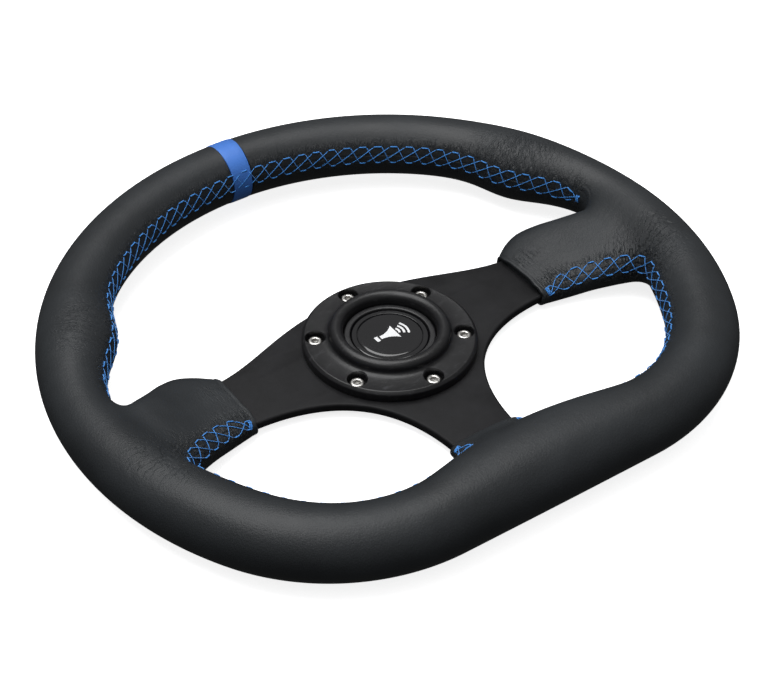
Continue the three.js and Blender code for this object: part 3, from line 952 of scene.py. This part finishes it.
class WHEEL_OT_leather(bpy.types.Operator):
    """Wraps the grip and the sleeves in three leather panels"""

    bl_idname = "wheel.leather"
    bl_label = "Leather panels"

    def execute(self, context):
        blank = wrapped_blank()
        slope = math.radians(SEAM_ANGLE - 90)
        for name, side in (("upper_right", 1), ("upper_left", -1)):
            panel = slice_panel(blank, f"wrap_{name}", [
                ((side * BAND_HALF, 0, 0), (-side, 0, 0)),
                ((0, 0, 0), (-side * math.sin(slope), -math.cos(slope), 0)),
            ])
            panel_attributes(panel)
            finish_piece(panel, WHEEL, "leather", materials()["leather"], f"leather_{name}")
        lower = slice_panel(blank, "wrap_lower", [
            ((0, 0, 0), (side * math.sin(slope), math.cos(slope), 0)) for side in (1, -1)
        ])
        panel_attributes(lower)
        finish_piece(lower, WHEEL, "leather", materials()["leather"], "leather_lower")
        self.foam(blank)
        return {"FINISHED"}

    def foam(self, blank):
        """The padding under the leather: the same form, drawn in by the leather."""
        blank.name = "rim_padding"
        thin = blank.modifiers.new("thin", "REMESH")
        thin.mode = "VOXEL"
        thin.voxel_size = FOAM_STEP * MM
        apply_modifiers(blank)
        write_points(blank.data, settle(read_points(blank.data), -FOAM_DEPTH, rounds=6))
        finish_piece(blank, WHEEL, "foam", materials()["foam"], "rim_foam_core")


class WHEEL_OT_band(bpy.types.Operator):
    """Wraps the blue band round the grip at 12 o'clock"""

    bl_idname = "wheel.band"
    bl_label = "Centre band"

    def execute(self, context):
        s = context.scene.wheel_sizes
        section = rounded([(-1, 1), (1, 1), (1, 0), (-1, 0)], [0.3, 0.3, 0, 0], 8)
        angle = np.linspace(0, 2 * np.pi, 160, endpoint=False)
        across = section[:, 0] * (BAND_HALF - 0.05)
        crown = 0.25 * (1 - section[:, 0] ** 2)
        lift = np.where(section[:, 1] > 0, 0.15 + crown, -1.8) + (section[:, 1] - 1) * 0.2
        scale = 1 + lift / s.grip
        along = np.broadcast_to(across / s.rim_radius, (160, len(section)))
        around = np.broadcast_to(angle[:, None], along.shape)
        points = rim_points(along, around, scale[None])
        band = mesh_object("centre_mark_band", points.reshape(-1, 3),
                           grid_faces(160, len(section), True, True))
        orient(band)
        finish_piece(band, WHEEL, "band_leather", materials()["band"], "center_band")
        return {"FINISHED"}


def mouth_roll(name, side):
    """The folded leather edge at a sleeve's mouth: a soft roll carried round the mouth.

    The path is the mouth's squared ellipse. The section is a rounded strip, flush with
    the sleeve outside, that stands a little proud of the plate.
    """
    sides = 160
    reach, upper, lower, middle, half = SIDE_SLEEVE[0]
    angle = np.linspace(0, 2 * np.pi, sides, endpoint=False)[:, None]
    c, s = np.cos(angle), np.sin(angle)
    power = 2 / SLEEVE_POWER
    strip = rounded([(-1.0, 0.1), (3.2, 0.25), (3.2, -1.9), (-1.0, -1.7)],
                    [0.9, 0.3, 0.3, 0.9], 8)
    along, inset = strip[:, 0], strip[:, 1]
    wide, tall = (upper - lower) / 2 + inset, half + inset
    across = (upper + lower) / 2 + wide * np.sign(c) * np.abs(c) ** power
    height = middle + tall * np.sign(s) * np.abs(s) ** power
    wave = 0.22 * np.sin(5 * angle) + 0.12 * np.sin(11 * angle + 1)
    points = spoke_place(side)(reach + along + wave, across, height)
    obj = mesh_object(name, points.reshape(-1, 3), grid_faces(sides, len(strip), True, True))
    return orient(obj)


class WHEEL_OT_mouths(bpy.types.Operator):
    """Folds the leather's edge in at the two side sleeves"""

    bl_idname = "wheel.mouths"
    bl_label = "Sleeve edges"

    def execute(self, context):
        for name, side in (("sleeve_edge_right", 1), ("sleeve_edge_left", -1)):
            roll = mouth_roll(name, side)
            panel_attributes(roll)
            finish_piece(roll, WHEEL, "leather", materials()["leather"])
        return {"FINISHED"}


class WHEEL_OT_lacing(bpy.types.Operator):
    """Laces the seams with crossed thread"""

    bl_idname = "wheel.lacing"
    bl_label = "Lacing"

    def execute(self, context):
        for name, (path, at) in seams().items():
            finish_piece(lace(name, path, at), WHEEL, "thread", materials()["thread"])
        return {"FINISHED"}


# ---------------------------------------------------------------- plate, ring, screws

BOLT_RADIUS = 35.0
BOLT_PLACES = [
    (BOLT_RADIUS * math.cos(a), BOLT_RADIUS * math.sin(a))
    for a in np.radians(90 - 60 * np.arange(6))
]
BOLT_HOLE = 2.9
PLATE_BORE = 22.3
PLATE_THICKNESS = 4.5
PLATE_ROUND = 1.2


def bezier(a, b, c, d, steps=40):
    """Points of a cubic curve from a to d, without its last one."""
    t = np.linspace(0, 1, steps, endpoint=False)[:, None]
    a, b, c, d = map(np.array, (a, b, c, d))
    return (1 - t) ** 3 * a + 3 * t * (1 - t) ** 2 * b + 3 * t ** 2 * (1 - t) * c + t ** 3 * d


def plate_outline():
    """The plate's edge: a bow over the hub and a hollow curve on each side of the foot."""
    top, reach, upper, low_edge, foot, down = 39.6, 86, 21.0, -12.0, 16.2, 78
    left = np.concatenate([
        bezier((0.0, top), (-40, top), (-60, upper), (-reach, upper)),
        bezier((-reach, upper), (-reach, 9), (-reach, -2), (-reach, low_edge), 4),
        bezier((-reach, low_edge), (-45, low_edge), (-18, -31), (-foot, -down)),
    ])
    right = left[::-1] * (-1, 1)
    return np.concatenate([left, [(-foot, -down)], [(foot, -down)], right[:-1]])


def circle(radius, centre=(0, 0), steps=64):
    angle = np.linspace(0, 2 * np.pi, steps, endpoint=False)
    return np.stack([centre[0] + radius * np.cos(angle), centre[1] + radius * np.sin(angle)], -1)


def flat_piece(name, outlines, bottom, top, bevel, segments=4):
    """A plate with rounded edges between two heights, from closed outlines and holes."""
    curve = bpy.data.curves.new(name, "CURVE")
    curve.dimensions = "2D"
    curve.fill_mode = "BOTH"
    curve.extrude = ((top - bottom) / 2 - bevel) * MM
    curve.bevel_depth = bevel * MM
    curve.bevel_resolution = segments
    curve.offset = -bevel * MM
    for outline in outlines:
        spline = curve.splines.new("POLY")
        spline.points.add(len(outline) - 1)
        rows = np.column_stack([outline * MM, np.zeros(len(outline)), np.ones(len(outline))])
        spline.points.foreach_set("co", rows.ravel())
        spline.use_cyclic_u = True
    draft = new_object(name, curve)
    depsgraph = bpy.context.evaluated_depsgraph_get()
    mesh = bpy.data.meshes.new_from_object(draft.evaluated_get(depsgraph))
    bpy.data.objects.remove(draft)
    mesh.transform(Matrix.Translation((0, 0, (top + bottom) / 2 * MM)))
    mesh.name = name
    obj = orient(new_object(name, mesh))
    shade_by_angle(obj, 50)
    return obj


class WHEEL_OT_plate(bpy.types.Operator):
    """Cuts the spoke plate with rounded edges, its bore and six holes"""

    bl_idname = "wheel.plate"
    bl_label = "Spoke plate"

    def execute(self, context):
        holes = [circle(BOLT_HOLE, place, 32) for place in BOLT_PLACES]
        plate = flat_piece(
            "spoke_plate_blank", [plate_outline(), circle(PLATE_BORE), *holes],
            0.0, PLATE_THICKNESS, PLATE_ROUND)
        finish_piece(plate, WHEEL, "spoke_plate", materials()["plate"], "spoke_plate")
        return {"FINISHED"}


class WHEEL_OT_ring(bpy.types.Operator):
    """Turns the clamp ring and bores its six screw pockets"""

    bl_idname = "wheel.ring"
    bl_label = "Clamp ring"

    def execute(self, context):
        seat, top = low("horn_ring")[2], 10.0
        outer = high("horn_ring")[0]
        lip_top, lip_out, lip_in = high("horn_ring")[2], 28.6, 22.0
        middle, roll = (lip_out + lip_in) / 2, (lip_out - lip_in) / 2
        angle = np.linspace(0, np.pi, 24)
        arch = np.stack(
            [middle + roll * np.cos(angle), lip_top - roll + roll * np.sin(angle)], -1)
        t = np.linspace(0, 1, 8)[:, None]
        foot = np.array([lip_out + 3.6, top])
        spring = np.array([lip_out, lip_top - roll])
        cove = (1 - t) ** 2 * foot + 2 * t * (1 - t) * np.array([lip_out, top]) + t ** 2 * spring
        inner, ledge, chamfer = 24.3, 6.6, 1.5
        rim = rounded(
            [(inner, seat), (outer, seat), (outer, top - chamfer), (outer - chamfer, top)],
            [0, 0.3, 0.5, 0.5], 5)
        profile = np.concatenate([rim, cove, arch[1:], [(lip_in, ledge), (inner, ledge)]])
        ring = turned("clamp_ring", profile, 192)
        floor, pocket_radius, mouth_radius, clear = seat + 1, 4.7, 5.3, top + 8
        cutters = []
        for k, (x, y) in enumerate(BOLT_PLACES):
            pocket = turned(f"pocket_{k}", [
                (0.0, seat - 1), (BOLT_HOLE, seat - 1), (BOLT_HOLE, floor),
                (pocket_radius, floor), (pocket_radius, top - 0.35),
                (mouth_radius, top + 0.3), (mouth_radius, clear), (0.0, clear)], 40)
            write_points(pocket.data, read_points(pocket.data) + (x, y, 0))
            cutters.append(pocket)
        cut(ring, cutters)
        shade_by_angle(ring, 32)
        finish_piece(ring, WHEEL, "horn_ring", materials()["ring"], "horn_ring")
        return {"FINISHED"}


def screw_points(steps=72):
    """A round-headed screw whose socket is six-sided.

    Rows of the grid go from the shank's end up over the head and down the socket. Each
    row is a circle, but the socket's rows are hexagons: r = flat / cos(angle to flat).
    """
    seat, top = 5.8, high("hub_screw_1")[2]
    outside = [(0, -4), (1.9, -4), (2.4, -3.5), (2.4, seat), (3.3, seat), (3.5, seat + 0.2),
               (3.5, top - 1.1), (3.4, top - 0.6), (3.1, top - 0.25), (2.6, top), (1.9, top)]
    inside = [(1.5, top - 0.15), (1.5, top - 1.5), (0, top - 1.7)]
    angle = np.linspace(0, 2 * np.pi, steps, endpoint=False)
    sector = (angle + math.pi / 6) % (math.pi / 3) - math.pi / 6
    rows = [(r * np.ones(steps), z) for r, z in outside]
    rows += [(r / np.cos(sector), z) for r, z in inside]
    return np.stack([
        np.stack([r * np.cos(angle), r * np.sin(angle), np.full(steps, z)], -1)
        for r, z in rows])


class WHEEL_OT_screws(bpy.types.Operator):
    """Makes the six hub screws with their hexagon sockets"""

    bl_idname = "wheel.screws"
    bl_label = "Hub screws"

    def execute(self, context):
        points = screw_points()
        rows, steps = points.shape[:2]
        for k, place in enumerate(BOLT_PLACES):
            turn = k * 0.7  # radians, so that the sockets don't line up
            c, s = math.cos(turn), math.sin(turn)
            spun = points @ np.array([(c, s, 0), (-s, c, 0), (0, 0, 1)])
            screw = mesh_object(f"socket_screw_{k + 1}", (spun + (*place, 0)).reshape(-1, 3),
                                grid_faces(rows, steps, False, True))
            orient(screw)
            shade_by_angle(screw, 30)
            finish_piece(screw, WHEEL, "screw_steel", materials()["screw"], f"hub_screw_{k + 1}")
        return {"FINISHED"}


# ---------------------------------------------------------------- horn button


def horn_mark():
    """Outlines of a plain bugle pictogram, in millimetres about its own centre.

    A flared bell is drawn by a curve that widens as the square of its length, and three
    arcs beside it stand for sound.
    """
    t = np.linspace(0, 1, 24)
    x = -5.2 + 8.4 * t
    y = 1.1 + 3.6 * t ** 2.2
    bell = np.concatenate([np.stack([x, y], -1), np.stack([x, -y], -1)[::-1]])
    grip = np.array([(-8.0, 1.7), (-6.2, 1.7), (-6.2, -1.7), (-8.0, -1.7)])
    arcs = []
    for radius in (3.2, 5.4, 7.6):
        angle = np.radians(np.linspace(-32, 32, 20))
        outer = np.stack([(radius + 0.55) * np.cos(angle), (radius + 0.55) * np.sin(angle)], -1)
        inner = np.stack([(radius - 0.55) * np.cos(angle), (radius - 0.55) * np.sin(angle)], -1)
        arcs.append(np.concatenate([outer, inner[::-1]]) + (1.6, 0))
    return [bell, grip, *arcs]


def dome(radius, top, crown, reach):
    """Height of a low dome that loses crown from its middle to its edge."""
    return top + crown * (1 - (radius / reach) ** 2)


class WHEEL_OT_button(bpy.types.Operator):
    """Turns the horn housing, the cap and its domed lens, and prints the pictogram"""

    bl_idname = "wheel.button"
    bl_label = "Horn button"

    def execute(self, context):
        stuff = materials()
        top = high("horn_housing")[2]
        housing = turned("horn_bezel", rounded([
            (19.6, 2.7), (21.5, 2.7), (21.5, 4.8), (24.0, 4.8), (24.0, 6.3), (21.5, 6.3),
            (21.5, top), (18.6, top), (18.6, 6.1), (19.6, 6.1)],
            [0, 0, 0, 0.3, 0.3, 0, 0.8, 0.7, 0, 0], 6))
        shade_by_angle(housing, 40)
        finish_piece(housing, WHEEL, "black_plastic", stuff["plastic"], "horn_housing")

        cap_top, lens_radius = high("horn_cap")[2], high("cap_emblem")[0]
        cap = turned("push_cap", rounded([
            (0.0, 7.6), (16.8, 7.6), (16.8, 5.0), (19.2, 5.0), (19.2, 5.8), (18.2, 5.8),
            (18.2, cap_top), (lens_radius + 0.25, cap_top - 0.05), (lens_radius + 0.25, 8.9),
            (0.0, 8.9)], [0, 0, 0, 0, 0, 0, 0.9, 0.2, 0, 0], 7))
        orient(cap)
        shade_by_angle(cap, 40)
        finish_piece(cap, BUTTON, "cap_gloss", stuff["gloss"], "horn_cap")

        reach = lens_radius
        radii = np.linspace(0, reach - 0.35, 20)[::-1]
        face = np.stack([radii, dome(radii, cap_top, 0.5, reach)], -1)
        lens = turned("cap_lens", np.concatenate([
            [(0.0, 9.2), (reach, 9.2), (reach, cap_top - 0.25)], face]))
        shade_by_angle(lens, 40)
        finish_piece(lens, BUTTON, "cap_gloss", stuff["gloss"], "cap_emblem")
        self.print_mark(stuff["mark"], cap_top, reach)
        return {"FINISHED"}

    def print_mark(self, ink, cap_top, reach):
        """The pictogram as a thin film that follows the lens's dome."""
        mark = flat_piece("horn_pictogram", horn_mark(), -0.03, 0.03, 0.008, 1)
        with edited(mark.data) as work:
            bmesh.ops.triangulate(work, faces=work.faces)
            bmesh.ops.subdivide_edges(
                work, edges=[e for e in work.edges if e.calc_length() > 1.5 * MM], cuts=3,
                use_grid_fill=True)
        points = read_points(mark.data)
        radius = np.hypot(points[:, 0], points[:, 1])
        points[:, 2] += dome(radius, cap_top, 0.5, reach) + 0.02
        write_points(mark.data, points)
        shade_by_angle(mark, 40)
        finish_piece(mark, BUTTON, "cap_gloss", ink)


class WHEEL_OT_spring(bpy.types.Operator):
    """Winds the horn spring"""

    bl_idname = "wheel.spring"
    bl_label = "Horn spring"

    def execute(self, context):
        bottom, top = low("horn_spring")[2], high("horn_spring")[2]
        wire, radius, turns, steps, sides = 0.5, 6.2, 3, 180, 10
        t = np.linspace(0, 1, steps)
        angle = 2 * np.pi * turns * t
        line = np.stack([radius * np.cos(angle), radius * np.sin(angle),
                         bottom + wire + (top - bottom - 2 * wire) * t], -1)
        out = np.stack([np.cos(angle), np.sin(angle), 0 * t], -1)
        around = np.linspace(0, 2 * np.pi, sides, endpoint=False)
        up = np.array((0, 0, 1.0))
        points = line[:, None] + wire * (
            out[:, None] * np.cos(around)[:, None] + up * np.sin(around)[:, None])
        faces = grid_faces(steps, sides, False, True)
        faces += [list(range(sides)), list(range((steps - 1) * sides, steps * sides))]
        coil = orient(mesh_object("horn_coil", points.reshape(-1, 3), faces))
        finish_piece(coil, WHEEL, "steel", materials()["steel"], "horn_spring")
        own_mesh(coil)
        return {"FINISHED"}


class WHEEL_OT_inner(bpy.types.Operator):
    """Gives the frame's inner pieces their finishes"""

    bl_idname = "wheel.inner"
    bl_label = "Inner pieces"

    def execute(self, context):
        kept = {
            "rim_hoop": "steel", "horn_base": "plastic",
            "contact_plate_fixed": "brass", "contact_plate_moving": "brass",
            "contact_rivet_upper": "brass", "contact_rivet_lower": "brass",
            "terminal_right": "brass", "terminal_left": "brass",
        }
        for node, stuff in kept.items():
            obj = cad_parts[node]
            for slot in obj.material_slots:
                slot.material = materials()[stuff]
            if not obj.material_slots:
                obj.data.materials.append(materials()[stuff])
        return {"FINISHED"}


# ---------------------------------------------------------------- stage


def area_light(name, size, power, place, aim=(0, 0, 0.01)):
    light = bpy.data.lights.new(name, "AREA")
    light.shape = "RECTANGLE"
    light.size, light.size_y = size
    light.energy = power
    obj = new_object(name, light)
    obj.location = place
    obj.rotation_mode = "QUATERNION"
    obj.rotation_quaternion = (Vector(aim) - Vector(place)).to_track_quat("-Z", "Y")


class WHEEL_OT_stage(bpy.types.Operator):
    """Sets the pale floor, the soft lights and the camera"""

    bl_idname = "wheel.stage"
    bl_label = "Stage"

    def execute(self, context):
        scene = context.scene
        ground = CAD_BOX[0][2] / MM - 0.5
        floor = mesh_object("floor", [
            (x * 6000.0, y * 6000.0, ground) for x, y in ((-1, -1), (1, -1), (1, 1), (-1, 1))],
            [[0, 1, 2, 3]])
        paper = Finish("pale_paper", (0.93, 0.93, 0.94), 0.85)
        paper.bump(paper.noise(400, 2), 0.0001, 0.1)
        paper.shader.inputs["Emission Color"].default_value = (1, 1, 1, 1)
        paper.shader.inputs["Emission Strength"].default_value = 0.8
        floor.data.materials.append(paper.material)
        floor.visible_diffuse = False
        floor.visible_glossy = False

        world = bpy.data.worlds.new("studio")
        world.use_nodes = True
        nodes, links = world.node_tree.nodes, world.node_tree.links
        height = nodes.new("ShaderNodeSeparateXYZ")
        links.new(nodes.new("ShaderNodeTexCoord").outputs["Generated"], height.inputs["Vector"])
        sky = nodes.new("ShaderNodeMapRange")
        for socket, value in (
                ("From Min", -0.3), ("From Max", 0.9), ("To Min", 0.05), ("To Max", 0.42)):
            sky.inputs[socket].default_value = value
        links.new(height.outputs["Z"], sky.inputs["Value"])
        links.new(sky.outputs["Result"], nodes["Background"].inputs["Color"])
        scene.world = world
        area_light("overhead", (3.2, 2.4), 95, (-0.2, 0.7, 3.0))
        area_light("front_fill", (2.0, 1.4), 8, (-0.9, -1.0, 2.8))

        stage = scene.stage_settings
        a, e, roll = stage.azimuth, stage.elevation, stage.roll
        back = Vector((math.sin(a) * math.cos(e), -math.cos(a) * math.cos(e), math.sin(e)))
        right = Vector((math.cos(a), math.sin(a), 0))
        up = back.cross(right)
        turned_right = right * math.cos(roll) + up * math.sin(roll)
        turned_up = up * math.cos(roll) - right * math.sin(roll)
        camera = bpy.data.cameras.new("camera")
        camera.lens = stage.lens
        camera.sensor_width = 36
        obj = new_object("camera", camera)
        turn = Matrix((turned_right, turned_up, back)).transposed()
        hub = Vector((0.34, 0.12, 0)) * MM
        obj.matrix_world = Matrix.Translation(hub + back * stage.distance) @ turn.to_4x4()
        scene.camera = obj
        scene.view_settings.view_transform = "Standard"
        return {"FINISHED"}


class WHEEL_PT_panel(bpy.types.Panel):
    """Lists the wheel's pieces, sizes and colours"""

    bl_idname = "WHEEL_PT_panel"
    bl_label = "Steering Wheel"
    bl_space_type = "VIEW_3D"
    bl_region_type = "UI"
    bl_category = "Steering Wheel"

    def draw(self, context):
        for operator in OPERATORS:
            self.layout.operator(operator.bl_idname)
        for group in ("wheel_sizes", "wheel_finishes", "stage_settings"):
            settings = getattr(context.scene, group)
            for key in type(settings).__annotations__:
                self.layout.prop(settings, key)


OPERATORS = (
    WHEEL_OT_stage, WHEEL_OT_leather, WHEEL_OT_band, WHEEL_OT_mouths, WHEEL_OT_lacing,
    WHEEL_OT_plate, WHEEL_OT_ring, WHEEL_OT_screws, WHEEL_OT_button, WHEEL_OT_spring,
    WHEEL_OT_inner,
)
GROUPS = {
    "wheel_sizes": WheelSizes, "wheel_finishes": WheelFinishes, "stage_settings": StageSettings,
}


def register():
    for group in GROUPS.values():
        bpy.utils.register_class(group)
    for name, group in GROUPS.items():
        setattr(bpy.types.Scene, name, bpy.props.PointerProperty(type=group))
    for operator in OPERATORS:
        bpy.utils.register_class(operator)
    bpy.utils.register_class(WHEEL_PT_panel)


def unregister():
    bpy.utils.unregister_class(WHEEL_PT_panel)
    for operator in reversed(OPERATORS):
        bpy.utils.unregister_class(operator)
    for name, group in GROUPS.items():
        delattr(bpy.types.Scene, name)
        bpy.utils.unregister_class(group)


def main():
    register()
    for operator in OPERATORS:
        family, name = operator.bl_idname.split(".")
        getattr(getattr(bpy.ops, family), name)()


if __name__ == "__main__":
    main()
